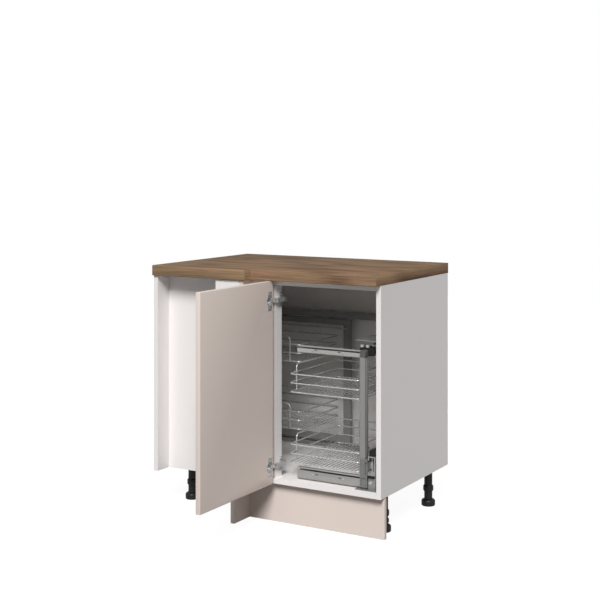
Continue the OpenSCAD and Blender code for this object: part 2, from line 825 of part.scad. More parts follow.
// A closed loop of wire with bent corners
module wire_loop(x, y, z, d, r) {
    wire_x([x[0] + r, x[1] - r], y[0], z, d);
    wire_x([x[0] + r, x[1] - r], y[1], z, d);
    wire_y(x[0], [y[0] + r, y[1] - r], z, d);
    wire_y(x[1], [y[0] + r, y[1] - r], z, d);
    bend(x[0] + r, y[0] + r, z, r, d, 180);
    bend(x[1] - r, y[0] + r, z, r, d, 270);
    bend(x[1] - r, y[1] - r, z, r, d, 0);
    bend(x[0] + r, y[1] - r, z, r, d, 90);
}
// Rim, two rails and a floor of thin wires that lie on a cross wire
module basket_body(x, y, z) {
    h = rim_wire / 2;
    wx = [x[0] + h, x[1] - h];
    wy = [y[0] + h, y[1] - h];
    for (k = [0:2]) wire_loop(wx, wy, z + k * rail_pitch, rim_wire, basket_r);
    n = floor((wx[1] - wx[0] - 2 * basket_r) / wire_pitch);
    first = (wx[0] + wx[1] - n * wire_pitch) / 2;
    for (i = [0:n]) wire_y(first + i * wire_pitch, wy, z + 1, floor_wire);
    wire_x(wx, (wy[0] + wy[1]) / 2, z - 0.8, floor_wire);
}
// The front basket's gallery is open towards the front
module front_basket(z) {
    h = rim_wire / 2;
    x = [front_x0 + h, front_x1 - h];
    y0 = pull_y + gallery_front;
    y1 = front_y1 - h;
    g = z + gallery_h;
    r = basket_r;
    color(chrome) union() {
        basket_body([front_x0, front_x1], [pull_y, front_y1], z);
        wire_x([x[0] + r, x[1] - r], y1, g, rim_wire);
        bend(x[1] - r, y1 - r, g, r, rim_wire, 0);
        bend(x[0] + r, y1 - r, g, r, rim_wire, 90);
        for (s = [0, 1]) {
            wire_y(x[s], [y0 + r, y1 - r], g, rim_wire);
            translate([x[s], y0 + r, g - r]) rotate([0, -90, 0]) rotate([0, 0, 270])
                rotate_extrude(angle = 90) translate([r, 0]) circle(d = rim_wire);
            wire_z(x[s], y0, [z, g - r], rim_wire);
        }
        for (s = [1, 2]) wire_z(x[0] + (x[1] - x[0]) * s / 3, y1, [z, g], floor_wire);
    }
}
module basket_front_upper() {
    front_basket(front_floor_z + basket_pitch);
}
module basket_front_lower() {
    front_basket(front_floor_z);
}

// Rear unit: tracks on the carcass, a frame that slides along X, two baskets
module track_top() {
    y0 = rear_frame_y - 6;
    color(satin) difference() {
        span([inner_left, inner_right], [y0, back_y], [track_z, track_z + track_h]);
        span([inner_left - 1, inner_right + 1], [y0 + track_t, back_y - track_t],
            [track_z - 1, track_z + track_h - track_t]);
    }
}
module track_bottom() {
    y0 = rear_frame_y - 2;
    color(satin) difference() {
        span([inner_left, inner_right], [y0, y0 + post_t + 4], [board_t, board_t + track_low_h]);
        span([inner_left - 1, inner_right + 1], [y0 + track_t, y0 + post_t + 4 - track_t],
            [board_t + track_t, board_t + track_low_h + 1]);
    }
}
module rear_post(x) {
    color(satin) span(x, [rear_frame_y, rear_frame_y1], [rear_frame_z, rear_frame_top]);
}
module rear_post_left() {
    rear_post([rear_x0, rear_x0 + post_w]);
}
module rear_post_right() {
    rear_post([post_x1 - post_w, post_x1]);
}
// Both bars of the rear frame, with the hangers and glides that run in the tracks
module rear_bars() {
    mid_y = (rear_frame_y + rear_frame_y1) / 2;
    x = [rear_x0 + post_w, post_x1 - post_w];
    color(satin) {
        span(x, [rear_frame_y, rear_frame_y1], [rear_frame_top - 22, rear_frame_top]);
        span(x, [rear_frame_y, rear_frame_y1], [rear_frame_z, rear_frame_z + 24]);
    }
    for (hx = [x[0] + 30, x[1] - 60]) {
        color(black) span([hx - 9, hx + 9], [mid_y - 3, mid_y + 3], [rear_frame_top, track_z + track_h - track_t - 0.4]);
        color(black) span([hx - 9, hx + 9], [mid_y - 3, mid_y + 3], [board_t + track_t + 0.4, rear_frame_z]);
    }
}
// The rear basket's gallery is open towards the door side, its back rod runs on to the post
module rear_basket(z) {
    h = rim_wire / 2;
    x0 = rear_x0 + h;
    x1 = rear_x1 - h - gallery_side;
    y = [rear_front + h, rear_y1 - h];
    g = z + gallery_h;
    r = basket_r;
    color(chrome) union() {
        basket_body([rear_x0, rear_x1], [rear_front, rear_y1], z);
        wire_y(x0, [y[0] + r, y[1] - r], g, rim_wire);
        bend(x0 + r, y[0] + r, g, r, rim_wire, 180);
        bend(x0 + r, y[1] - r, g, r, rim_wire, 90);
        wire_x([x0 + r, x1 - r], y[0], g, rim_wire);
        translate([x1 - r, y[0], g - r]) rotate([90, 0, 0]) rotate_extrude(angle = 90)
            translate([r, 0]) circle(d = rim_wire);
        wire_z(x1, y[0], [z, g - r], rim_wire);
        wire_x([x0 + r, post_x1 - post_w / 2], y[1], g, rim_wire);
        for (s = [1, 2]) wire_z(x0, y[0] + (y[1] - y[0]) * s / 3, [z, g], floor_wire);
    }
}
module basket_rear_upper() {
    rear_basket(rear_floor_z + basket_pitch);
}
module basket_rear_lower() {
    rear_basket(rear_floor_z);
}

home() side_panel_right();
home() side_panel_left();
home() bottom_panel();
home() top_rail_front();
home() top_rail_rear();
home() back_panel();
home() blind_panel();
home() hinge_stile();
home() spacer_strip();
home() filler_side();
home() filler_front();
home() worktop();
home() door();
home() hinge_cup_lower();
home() hinge_cup_upper();
home() cup_screws();
home() hinge_link_lower();
home() hinge_link_upper();
home() hinge_arm_lower();
home() hinge_arm_upper();
home() hinge_screws();
home() plinth_front();
home() plinth_return();
home() plinth_corner();
home() plinth_clips();
home() leg_front_right();
home() leg_front_middle();
home() leg_front_left();
home() leg_rear_right();
home() leg_rear_left();
home() foot_front_right();
home() foot_front_middle();
home() foot_front_left();
home() foot_rear_right();
home() foot_rear_left();
home() runner_lower();
home() runner_upper();
home() runner_brackets();
home() runner_caps();
home() runner_screws();
home() slide_middle_lower();
home() slide_middle_upper();
home() slide_inner_lower();
home() slide_inner_upper();
home() carriage_lower();
home() carriage_upper();
home() column();
home() column_rear();
home() frame_bar_upper();
home() frame_bar_lower();
home() frame_screws();
home() basket_front_upper();
home() basket_front_lower();
home() track_top();
home() track_bottom();
home() rear_post_left();
home() rear_post_right();
home() rear_bars();
home() basket_rear_upper();
home() basket_rear_lower();
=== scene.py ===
# %% [markdown]
# # Corner base cabinet
# This is a kitchen base cabinet for a blind corner: white boards on screw feet, a beige door that stands
# open, a walnut worktop with a step in its front edge, and a wire basket pull-out inside. The packed
# model gives every rigid piece its true size and place. This lesson lights it, gives each finish a
# material of its own, and models again the pieces whose edges a close look rests on: the worktop, the
# door, and three bars of the pull-out. The nails of the back panel and a strip on the column are small,
# so they are made here alone. Sizes and places are in metres.

# %% Load the frame
import json
import math

import bmesh
import bpy
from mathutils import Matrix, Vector

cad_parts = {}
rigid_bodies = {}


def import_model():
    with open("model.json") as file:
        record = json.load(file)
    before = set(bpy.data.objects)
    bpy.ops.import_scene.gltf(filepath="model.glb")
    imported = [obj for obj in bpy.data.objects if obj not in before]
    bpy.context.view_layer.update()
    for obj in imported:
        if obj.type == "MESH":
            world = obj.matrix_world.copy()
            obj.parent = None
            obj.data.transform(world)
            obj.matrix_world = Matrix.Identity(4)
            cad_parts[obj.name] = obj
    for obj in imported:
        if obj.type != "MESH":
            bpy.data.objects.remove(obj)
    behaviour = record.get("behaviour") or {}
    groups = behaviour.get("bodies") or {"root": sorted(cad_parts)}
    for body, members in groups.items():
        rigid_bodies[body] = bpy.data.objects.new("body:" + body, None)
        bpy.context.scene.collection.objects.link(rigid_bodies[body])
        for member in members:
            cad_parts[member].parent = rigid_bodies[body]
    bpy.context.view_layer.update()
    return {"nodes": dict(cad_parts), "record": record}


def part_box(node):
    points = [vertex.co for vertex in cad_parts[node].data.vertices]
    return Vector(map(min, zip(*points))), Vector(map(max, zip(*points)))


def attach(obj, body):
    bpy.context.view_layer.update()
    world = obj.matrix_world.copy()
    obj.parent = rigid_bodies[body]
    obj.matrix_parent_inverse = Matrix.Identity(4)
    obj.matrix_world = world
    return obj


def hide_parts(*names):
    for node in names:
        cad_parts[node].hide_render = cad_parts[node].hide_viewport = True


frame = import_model()
nodes = frame["nodes"]

# %% [markdown]
# ## Camera
# The photograph looks at the cabinet from a little above its worktop, and still the uprights are parallel
# in it. A camera that is tilted down would make them converge. So this one looks level and its lens is
# shifted down, as on a view camera. The focal length and the horizon are in pixels of the photograph,
# because that is where they were measured.

# %% Camera
PHOTO_SIZE = 600
FOCAL_PX = 1217.34
HORIZON_PX = 161.56
SENSOR_MM = 36
NEAREST_SEEN = 0.05
CAMERA_PLACE = (2.290, -3.7206, 1.2809)
CAMERA_TURN = math.radians(30.44)
QUARTER_TURN = math.radians(90)

scene = bpy.context.scene
bpy.ops.object.select_all(action="DESELECT")
bpy.ops.object.camera_add(location=CAMERA_PLACE, rotation=(QUARTER_TURN, 0, CAMERA_TURN))
camera = bpy.context.object
camera.name = "camera"
camera.data.sensor_width = SENSOR_MM
camera.data.lens = SENSOR_MM * FOCAL_PX / PHOTO_SIZE
camera.data.shift_y = (HORIZON_PX - PHOTO_SIZE / 2) / PHOTO_SIZE
camera.data.clip_start = NEAREST_SEEN
scene.camera = camera
print("lens", round(camera.data.lens, 2), "shift", round(camera.data.shift_y, 4))

# %% [markdown]
# ## Light
# In the photograph the walnut is about as bright on top as in front, the right side is a mid tone, and
# the worktop and the open door cast soft shadows. One wide lamp in front, to the right and above gives
# all of this. An area lamp could too, but its light falls off across the cabinet, and the light of a sun
# lamp doesn't. A pale sky fills the shadows. It is white to the camera and dimmer to everything else, so
# that the background is white and the inside of the cabinet still stays dark.

# %% Light helpers
def feed(tree, socket, value):
    """Links the output of another node to a socket, or sets the socket to a number, a colour or a vector."""
    if isinstance(value, bpy.types.NodeSocket):
        tree.links.new(value, socket)
    else:
        socket.default_value = value


def calc(tree, operation, *values):
    """A math node over sockets and numbers."""
    node = tree.nodes.new("ShaderNodeMath")
    node.operation = operation
    for socket, value in zip(node.inputs, values):
        feed(tree, socket, value)
    return node.outputs[0]


def by_ray(tree, to_camera, to_mirrors, to_surfaces):
    """A strength that differs for the camera, for mirrors, and for the light that falls on surfaces."""
    path = tree.nodes.new("ShaderNodeLightPath")
    mirrored = calc(tree, "MAXIMUM", path.outputs["Is Glossy Ray"], path.outputs["Is Transmission Ray"])
    base = calc(tree, "MULTIPLY_ADD", mirrored, to_mirrors - to_surfaces, to_surfaces)
    return calc(tree, "MULTIPLY_ADD", path.outputs["Is Camera Ray"], to_camera - to_surfaces, base)


print("feed, calc and by_ray ready")

# %% Sky
SKY_FILL = 0.245
SKY_MIRROR = 0.55

scene.view_settings.view_transform = "Standard"
world = bpy.data.worlds.new("studio_sky")
scene.world = world
world.use_nodes = True
sky = world.node_tree
backdrop = sky.nodes["Background"]
backdrop.inputs["Color"].default_value = (1, 1, 1, 1)
sky_strength = by_ray(sky, to_camera=1.0, to_mirrors=SKY_MIRROR, to_surfaces=SKY_FILL)
feed(sky, backdrop.inputs["Strength"], sky_strength)
print("sky fill", SKY_FILL, "in mirrors", SKY_MIRROR)

# %% Lamp
LAMP_STRENGTH = 3.07
LAMP_RISE = math.radians(42)
LAMP_SIDE = math.radians(25.5)
LAMP_SPREAD = math.radians(21)
LAMP_PLACE = (1.5, -3, 2.5)

bpy.ops.object.light_add(type="SUN", location=LAMP_PLACE, rotation=(QUARTER_TURN - LAMP_RISE, 0, LAMP_SIDE))
lamp = bpy.context.object
lamp.name = "front_lamp"
lamp.data.energy = LAMP_STRENGTH
lamp.data.angle = LAMP_SPREAD
print("lamp from", round(math.degrees(LAMP_SIDE)), "degrees right,", round(math.degrees(LAMP_RISE)), "up")

# %% [markdown]
# ## Floor
# The cabinet stands on a plain studio floor that runs into the white background and keeps a soft shadow.
# A white floor in the lamp's light would look so too, but it would light the cabinet from below. This
# floor is dark to the lamp and has a glow that only the camera and mirrors meet, so it is white and
# throws little light back up. The little that it takes from the lamp draws the shadow.

# %% Material helper
def new_material(name, **plain):
    """A material, its node tree and its Principled shader. plain gives the shader's constant sockets."""
    material = bpy.data.materials.new(name)
    material.use_nodes = True
    shader = material.node_tree.nodes["Principled BSDF"]
    for socket, value in plain.items():
        shader.inputs[socket.replace("_", " ")].default_value = value
    return material, material.node_tree, shader


print("new_material ready")

# %% Floor
FLOOR_SIZE = 14
FLOOR_DROP = 0.0005
FLOOR_ALBEDO = 0.12
FLOOR_GLOW = 0.935
FLOOR_MIRROR = 0.50
FLOOR_ROUGH = 0.9
FLOOR_SHEEN = 0.1

bpy.ops.mesh.primitive_plane_add(size=FLOOR_SIZE, location=(0, 0, -FLOOR_DROP))
floor = bpy.context.object
floor.name = "studio_floor"
floor_material, tree, shader = new_material(
    "studio_floor", Base_Color=(FLOOR_ALBEDO, FLOOR_ALBEDO, FLOOR_ALBEDO, 1), Roughness=FLOOR_ROUGH,
    Specular_IOR_Level=FLOOR_SHEEN)
glow = tree.nodes.new("ShaderNodeEmission")
both = tree.nodes.new("ShaderNodeAddShader")
floor_strength = by_ray(tree, to_camera=FLOOR_GLOW, to_mirrors=FLOOR_MIRROR, to_surfaces=0)
feed(tree, glow.inputs["Strength"], floor_strength)
feed(tree, both.inputs[0], shader.outputs[0])
feed(tree, both.inputs[1], glow.outputs[0])
feed(tree, tree.nodes["Material Output"].inputs["Surface"], both.outputs[0])
floor.data.materials.append(floor_material)
print("floor glow", FLOOR_GLOW)

# %% [markdown]
# ## Effects
# No real surface is quite even: a lacquer has faint clouds, and a pressed board a fine grain that breaks
# up its gloss. Painted images could show that, but they would need a layout for every piece. Each effect
# here is a shader group with named inputs, made once and placed in every finish that has it. All of them
# read Object coordinates. Each piece has its place in its mesh, so a pattern has one scale all over the
# cabinet.

# %% Group helpers
def srgb(red, green, blue):
    """A colour as read off a picture, 0 to 255, as the linear values that the shader wants."""
    def one(value):
        value /= 255
        return value / 12.92 if value <= 0.04045 else ((value + 0.055) / 1.055) ** 2.4
    return one(red), one(green), one(blue), 1


def effect(name, inputs, outputs):
    """An empty shader group. inputs and outputs map a socket's name to its kind: Float, Color or Vector."""
    group = bpy.data.node_groups.new(name, "ShaderNodeTree")
    for direction, sockets in (("INPUT", inputs), ("OUTPUT", outputs)):
        for socket, kind in sockets.items():
            group.interface.new_socket(socket, in_out=direction, socket_type="NodeSocket" + kind)
    return group, group.nodes.new("NodeGroupInput"), group.nodes.new("NodeGroupOutput")


print("srgb and effect ready")

# %% Node helpers
def place(tree, kind, group=None, **values):
    """A new node of a kind, or of one of the groups, with its inputs fed by name."""
    node = tree.nodes.new("ShaderNode" + kind)
    if group:
        node.node_tree = group
    for socket, value in values.items():
        feed(tree, node.inputs[socket.replace("_", " ")], value)
    return node


def object_place(tree):
    """Each point's place on the cabinet."""
    return place(tree, "TexCoord").outputs["Object"]


def noise(tree, vector, scale, detail, rough=0.5):
    """A noise texture over a vector. scale is its number of changes per metre."""
    return place(tree, "TexNoise", Vector=vector, Scale=scale, Detail=detail, Roughness=rough).outputs["Fac"]


def mix(tree, factor, colour_a, colour_b, blend="MIX"):
    """Two colours, plain or from sockets, blended by a factor."""
    node = tree.nodes.new("ShaderNodeMix")
    node.data_type = "RGBA"
    node.blend_type = blend
    for index, value in ((0, factor), (6, colour_a), (7, colour_b)):
        feed(tree, node.inputs[index], value)
    return node.outputs[2]


print("place, object_place, noise and mix ready")

# %% Fine grain
GRAIN_STRENGTH = 0.25

grain, grain_in, grain_out = effect(
    "fine_grain", {"Scale": "Float", "Low": "Float", "High": "Float", "Depth": "Float"},
    {"Roughness": "Float", "Normal": "Vector"})
fine = noise(grain, object_place(grain), grain_in.outputs["Scale"], detail=3, rough=0.6)
gloss = place(grain, "MapRange", Value=fine, To_Min=grain_in.outputs["Low"], To_Max=grain_in.outputs["High"])
relief = place(grain, "Bump", Strength=GRAIN_STRENGTH, Height=fine, Distance=grain_in.outputs["Depth"])
feed(grain, grain_out.inputs["Roughness"], gloss.outputs["Result"])
feed(grain, grain_out.inputs["Normal"], relief.outputs["Normal"])
print("fine_grain: a noise as roughness and relief")

# %% Two tones
tones, tones_in, tones_out = effect(
    "two_tones", {"Light": "Color", "Dark": "Color", "Scale": "Float"}, {"Color": "Color"})
cloud = noise(tones, object_place(tones), tones_in.outputs["Scale"], detail=3)
clouded = mix(tones, cloud, tones_in.outputs["Light"], tones_in.outputs["Dark"])
feed(tones, tones_out.inputs["Color"], clouded)
print("two_tones: soft clouds between two colours")

# %% [markdown]
# ## Walnut figure
# The worktop is laminate with a walnut figure: wavy growth rings, dark streaks, fine hair lines and open
# pores, all drawn out along the board. A wave texture could draw the rings, but too evenly. Here the
# rings are drawn as on a map: a smooth noise is the height of the land, and its contour lines are the
# rings that a saw has cut open. Streaks, hair lines and pores are noises too, each drawn out in its own
# measure. A slow change from red brown to green brown lies over them. A tint then paints light and shade
# onto the sheet: the top is painted darker and the ends lighter than the long edges.

# %% Walnut grain
RING_COUNT = 60
DARKEST = 0.035
RING_SHARE = 0.05
STREAK_SHARE = 0.55
HAIR_SHARE = 0.24
PORE_SHARE = 0.14

timber, timber_in, timber_out = effect(
    "walnut_grain", {"Vector": "Vector", "Tint": "Color"},
    {"Color": "Color", "Roughness": "Float", "Normal": "Vector"})


def figure(along, across, detail, rough=0.6):
    """A noise with so many changes per metre along the grain and across it."""
    drawn_out = place(timber, "Mapping", Vector=timber_in.outputs["Vector"], Scale=(along, across, across))
    return noise(timber, drawn_out.outputs["Vector"], 1.0, detail, rough)


land = figure(along=0.9, across=4, detail=2, rough=0.4)
ring = calc(timber, "SINE", calc(timber, "MULTIPLY", land, RING_COUNT))
streak = figure(along=2.5, across=50, detail=7, rough=0.7)
drift = figure(along=0.8, across=9, detail=3)
pores = figure(along=14, across=420, detail=2)
hair = figure(along=3, across=190, detail=4)
tone = DARKEST
for layer, share in ((streak, STREAK_SHARE), (ring, RING_SHARE), (hair, HAIR_SHARE), (pores, PORE_SHARE)):
    tone = calc(timber, "MULTIPLY_ADD", layer, share, tone)
print("walnut_grain: rings, streaks, hair lines and pores")

# %% Walnut colour and relief
WALNUT_TONES = ((0.38, srgb(104, 83, 65)), (0.48, srgb(136, 111, 89)), (0.60, srgb(160, 132, 105)))
RED_BROWN = (1.05, 0.985, 0.98, 1)
GREEN_BROWN = (0.95, 0.985, 0.94, 1)
DRIFT_RANGE = (0.38, 0.62)
WALNUT_ROUGH = (0.50, 0.68)
PORE_STRENGTH = 0.3
PORE_DEPTH = 0.0002

shade = place(timber, "ValToRGB", Fac=tone)
stops = shade.color_ramp.elements
stops.new(0.5)
for stop, (at, colour) in zip(stops, WALNUT_TONES):
    stop.position = at
    stop.color = colour
cast = place(timber, "MapRange", Value=drift, From_Min=DRIFT_RANGE[0], From_Max=DRIFT_RANGE[1])
browns = mix(timber, cast.outputs["Result"], RED_BROWN, GREEN_BROWN)
hue = mix(timber, 1.0, shade.outputs["Color"], browns, "MULTIPLY")
dull = place(timber, "MapRange", Value=pores, To_Min=WALNUT_ROUGH[0], To_Max=WALNUT_ROUGH[1])
pressed = place(timber, "Bump", Strength=PORE_STRENGTH, Distance=PORE_DEPTH, Height=pores)
feed(timber, timber_out.inputs["Color"], mix(timber, 1.0, hue, timber_in.outputs["Tint"], "MULTIPLY"))
feed(timber, timber_out.inputs["Roughness"], dull.outputs["Result"])
feed(timber, timber_out.inputs["Normal"], pressed.outputs["Normal"])
print("walnut tones at", [at for at, colour in WALNUT_TONES])

# %% [markdown]
# ## Finishes
# A board faced with melamine has a dull grain like orange skin. Lacquer is smoother and warmer, with a
# soft sheen. Chrome, zinc and grey paint differ in how sharply they mirror the room, and the black
# plastic hardly does. One shader with switches could hold them all, but a finish is easier to match when
# its numbers stand together. So each is a Principled shader with its own constants, fed by the effects
# above.

# %% Finish helper
def toned(tree, light, dark, clouds):
    """The colour of a two_tones group."""
    return place(tree, "Group", tones, Light=light, Dark=dark, Scale=clouds).outputs["Color"]


def finish(name, light, dark, rough, grains, depth, clouds=3.0, **plain):
    """A material of two tones with a fine grain. rough gives the least and the most roughness, grains and
    clouds count per metre, depth is that of the grain, and plain gives the shader's own constant sockets."""
    material, tree, shader = new_material(name, **plain)
    surface = place(tree, "Group", grain, Scale=grains, Low=rough[0], High=rough[1], Depth=depth)
    feed(tree, shader.inputs["Base Color"], toned(tree, light, dark, clouds))
    feed(tree, shader.inputs["Roughness"], surface.outputs["Roughness"])
    feed(tree, shader.inputs["Normal"], surface.outputs["Normal"])
    return material


print("finish makes a material of two tones with a fine grain")

# %% Boards and lacquer
melamine = finish("melamine_white", light=srgb(247, 243, 242), dark=srgb(244, 240, 238),
                  rough=(0.44, 0.56), grains=900, depth=0.0002, IOR=1.5)
hardboard = finish("hardboard_white", light=srgb(246, 244, 242), dark=srgb(240, 238, 236),
                   rough=(0.56, 0.68), grains=500, depth=0.0003, IOR=1.5)
lacquer = finish("lacquer_beige", light=srgb(235, 221, 212), dark=srgb(231, 217, 208),
                 rough=(0.38, 0.50), grains=1400, depth=0.0001, IOR=1.45)
backing = finish("worktop_backing", light=srgb(246, 243, 240), dark=srgb(240, 237, 233),
                 rough=(0.6, 0.8), grains=350, depth=0.0003, clouds=60, IOR=1.45)
print("white boards, beige lacquer, backing film")

# %% Metal and plastic
chrome = finish("chrome", light=(0.65, 0.65, 0.65, 1), dark=(0.58, 0.58, 0.58, 1),
                rough=(0.22, 0.34), grains=300, depth=0.0001, clouds=40, Metallic=0.5)
zinc = finish("steel", light=(0.62, 0.62, 0.61, 1), dark=(0.53, 0.53, 0.53, 1),
              rough=(0.26, 0.42), grains=600, depth=0.0001, clouds=60, Metallic=0.6)
pressed_zinc = finish("pressed_zinc", light=(0.42, 0.42, 0.41, 1), dark=(0.30, 0.30, 0.30, 1),
                      rough=(0.30, 0.48), grains=400, depth=0.0002, clouds=110, Metallic=0.7)
black_plastic = finish("black_plastic", light=srgb(24, 24, 25), dark=srgb(18, 18, 19),
                       rough=(0.42, 0.56), grains=900, depth=0.0002, clouds=20, IOR=1.45)
print("chrome, zinc, black plastic")

# %% Grey paint and plastic
grey_paint = finish("painted_grey", light=srgb(148, 148, 146), dark=srgb(138, 138, 136),
                    rough=(0.33, 0.47), grains=700, depth=0.0001, IOR=1.5)
bar_light = finish("bar_light", light=srgb(178, 177, 175), dark=srgb(168, 167, 165),
                   rough=(0.28, 0.42), grains=700, depth=0.0001, clouds=20, IOR=1.5)
bar_dark = finish("bar_dark", light=srgb(160, 159, 158), dark=srgb(150, 149, 148),
                  rough=(0.28, 0.42), grains=700, depth=0.0001, clouds=20, IOR=1.5)
cast_grey = finish("cast_grey", light=srgb(128, 128, 126), dark=srgb(112, 112, 110),
                   rough=(0.36, 0.54), grains=260, depth=0.0003, clouds=90, IOR=1.5)
# The strip's grey is painted shade: it darkens the column's side that faces the runners.
column_shade_paint = finish("column_shade_paint", light=srgb(146, 146, 144), dark=srgb(136, 136, 134),
                    rough=(0.42, 0.56), grains=900, depth=0.0001, IOR=1.45)
print("grey paint, the bars' two greys, the carriage's and the strip's")

# %% Walnut
WALNUT_SHEEN = 0.03


def walnut(name, turn, tint):
    """turn, in degrees about Z, lays the grain along Y when it is 90. tint is multiplied onto the wood, as
    painted light or shade.
    """
    material, tree, shader = new_material(name, Specular_IOR_Level=WALNUT_SHEEN)
    turned = place(tree, "Mapping", Vector=object_place(tree), Rotation=(0, 0, math.radians(turn)))
    wood = place(tree, "Group", timber, Vector=turned.outputs["Vector"], Tint=tint)
    feed(tree, shader.inputs["Base Color"], wood.outputs["Color"])
    feed(tree, shader.inputs["Roughness"], wood.outputs["Roughness"])
    feed(tree, shader.inputs["Normal"], wood.outputs["Normal"])
    return material


# The top's tint is painted shade and the ends' tint painted light, each set against the long edges.
walnut_top_painted_shade = walnut("walnut_top_painted_shade", 0, (0.86, 0.85, 0.84, 1))
walnut_long = walnut("walnut_edge", 0, (1.02, 1.03, 1.02, 1))
walnut_end_painted_light = walnut("walnut_end_painted_light", 90, (1.13, 1.14, 1.14, 1))
print("walnut on the top, the long edges and the ends")

# %% [markdown]
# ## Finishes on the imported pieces
# The record names a material slot for every node. Choosing a finish piece by piece would be a long list,
# so each node takes the finish of its slot. Three pieces of the pull-out and its runners are of a
# slightly different make in the photograph than the rest of their slot, and get their own.

# %% Apply the finishes
FINISHES = {"melamine_white": melamine, "hardboard_white": hardboard, "lacquer_beige": lacquer,
            "walnut": walnut_top_painted_shade, "steel": zinc, "painted_grey": grey_paint, "chrome": chrome,
            "black_plastic": black_plastic}
OWN_FINISHES = {"frame_bar_upper": bar_light, "carriage_lower": cast_grey, "runner_brackets": pressed_zinc}

slots = {part["node"]: part["material_slot"] for part in frame["record"]["subparts"]}
for name, node in nodes.items():
    for slot in node.material_slots:
        slot.material = FINISHES[slots[name]]
for name, material in OWN_FINISHES.items():
    nodes[name].material_slots[0].material = material
print(len(nodes), "pieces finished in", len(FINISHES) + len(OWN_FINISHES), "finishes")

# %% [markdown]
# ## Pieces of two materials
# Three imported pieces change their finish part of the way along. The column is a grey tube under a darker
# moulded head, the front edge of the hinge stile is painted grey as the shade that falls on it beside the
# open door, and the back panel is hardboard, white inside and brown behind. Each could be cut into two
# pieces, but a packed piece's mesh stays as it is. So a mask tells how far a point lies in one direction,
# and the tones change past a limit.

# %% Side mask
side, side_in, side_out = effect("side_mask", {"Direction": "Vector", "Limit": "Float"}, {"Mask": "Float"})
reach = side.nodes.new("ShaderNodeVectorMath")
reach.operation = "DOT_PRODUCT"
feed(side, reach.inputs[0], object_place(side))
feed(side, reach.inputs[1], side_in.outputs["Direction"])
past = calc(side, "GREATER_THAN", reach.outputs["Value"], side_in.outputs["Limit"])
feed(side, side_out.inputs["Mask"], past)
print("side_mask: 1 past a limit in one direction, else 0")

# %% Banded finishes
HEAD_HEIGHT = 0.0249
SHADE_BAND_DEPTH = 0.0004
REAR_DEPTH = 0.0005


def banded(base, name, direction, limit, light, dark, clouds):
    """A copy of a finish that takes two other tones past the limit."""
    material = base.copy()
    material.name = name
    tree = material.node_tree
    colour = tree.nodes["Principled BSDF"].inputs["Base Color"]
    plain = colour.links[0].from_socket
    mask = place(tree, "Group", side, Direction=direction, Limit=limit).outputs["Mask"]
    feed(tree, colour, mix(tree, mask, plain, toned(tree, light, dark, clouds)))
    return material


column_low, column_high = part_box("column")
stile_low, stile_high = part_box("hinge_stile")
back_low, back_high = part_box("back_panel")
head_z = column_high[2] - HEAD_HEIGHT
shade_band_y = stile_low[1] + SHADE_BAND_DEPTH
rear_y = back_high[1] - REAR_DEPTH
BANDED_FINISHES = {
    "column": banded(grey_paint, "column_paint", (0, 0, 1), head_z,
                     light=srgb(96, 96, 95), dark=srgb(88, 88, 87), clouds=60),
    # The stile's grey front edge is painted shade, for the shade beside the open door.
    "hinge_stile": banded(melamine, "stile_painted_shade", (0, -1, 0), -shade_band_y,
                          light=srgb(186, 182, 179), dark=srgb(181, 177, 174), clouds=40),
    "back_panel": banded(hardboard, "hardboard_two_sided", (0, 1, 0), rear_y,
                         light=srgb(184, 150, 114), dark=srgb(158, 124, 90), clouds=90)}
for name, material in BANDED_FINISHES.items():
    nodes[name].material_slots[0].material = material
print("head above", round(head_z, 4), "painted shade before", round(shade_band_y, 4), "brown behind", round(rear_y, 4))

# %% [markdown]
# ## Worktop
# The worktop is one board, 38 mm thick, that is deeper at the left than at the right. It could be two
# blocks joined together, but their seam would have to be closed again. So it starts as one block over its
# left, deeper part. The right face of that is cut where the shallower part's front will be, and the rear
# piece of the face is drawn out to the right end. The front arrises are rounded, as the laminate is bent
# over them. The ends get walnut edging, and the underside the pale film that keeps such a board flat.

# %% Selecting helper
# A face looks straight along an axis, or mainly along it, when its normal there is more than this.
STRAIGHT = 0.9
MAINLY = 0.7


def pick_parts(kind, test):
    """In edit mode, selects just the faces or edges whose middle passes test(middle, item)."""
    bpy.ops.mesh.select_all(action="DESELECT")
    mesh = bmesh.from_edit_mesh(bpy.context.object.data)
    count = 0
    for item in getattr(mesh, kind):
        middle = sum((corner.co for corner in item.verts), Vector()) / len(item.verts)
        if test(middle, item):
            item.select_set(True)
            count += 1
    bmesh.update_edit_mesh(bpy.context.object.data)
    return count


print("pick_parts ready")

# %% Block and soft edges
EDGE_ANGLE = math.radians(40)
SMOOTH_ANGLE = math.radians(30)


def block(name, low, high):
    """A box between two corners, modelled at the origin with its place in its mesh."""
    bpy.ops.object.select_all(action="DESELECT")
    bpy.ops.mesh.primitive_cube_add(size=1, location=[(a + b) / 2 for a, b in zip(low, high)])
    piece = bpy.context.object
    piece.name = name
    piece.scale = [b - a for a, b in zip(low, high)]
    bpy.ops.object.transform_apply(location=True, rotation=True, scale=True)
    return piece


def soften(piece, width, segments):
    """Rounds the sharp edges of the piece, which is the active one, and shades it smoothly."""
    bpy.ops.object.modifier_add(type="BEVEL")
    change = piece.modifiers[-1]
    change.width = width
    change.segments = segments
    change.limit_method = "ANGLE"
    change.angle_limit = EDGE_ANGLE
    bpy.ops.object.modifier_apply(modifier=change.name)
    bpy.ops.object.shade_smooth_by_angle(angle=SMOOTH_ANGLE)


print("block and soften ready")

# %% Worktop body
DEEP_LENGTH = 0.404
STEP_DEPTH = 0.044

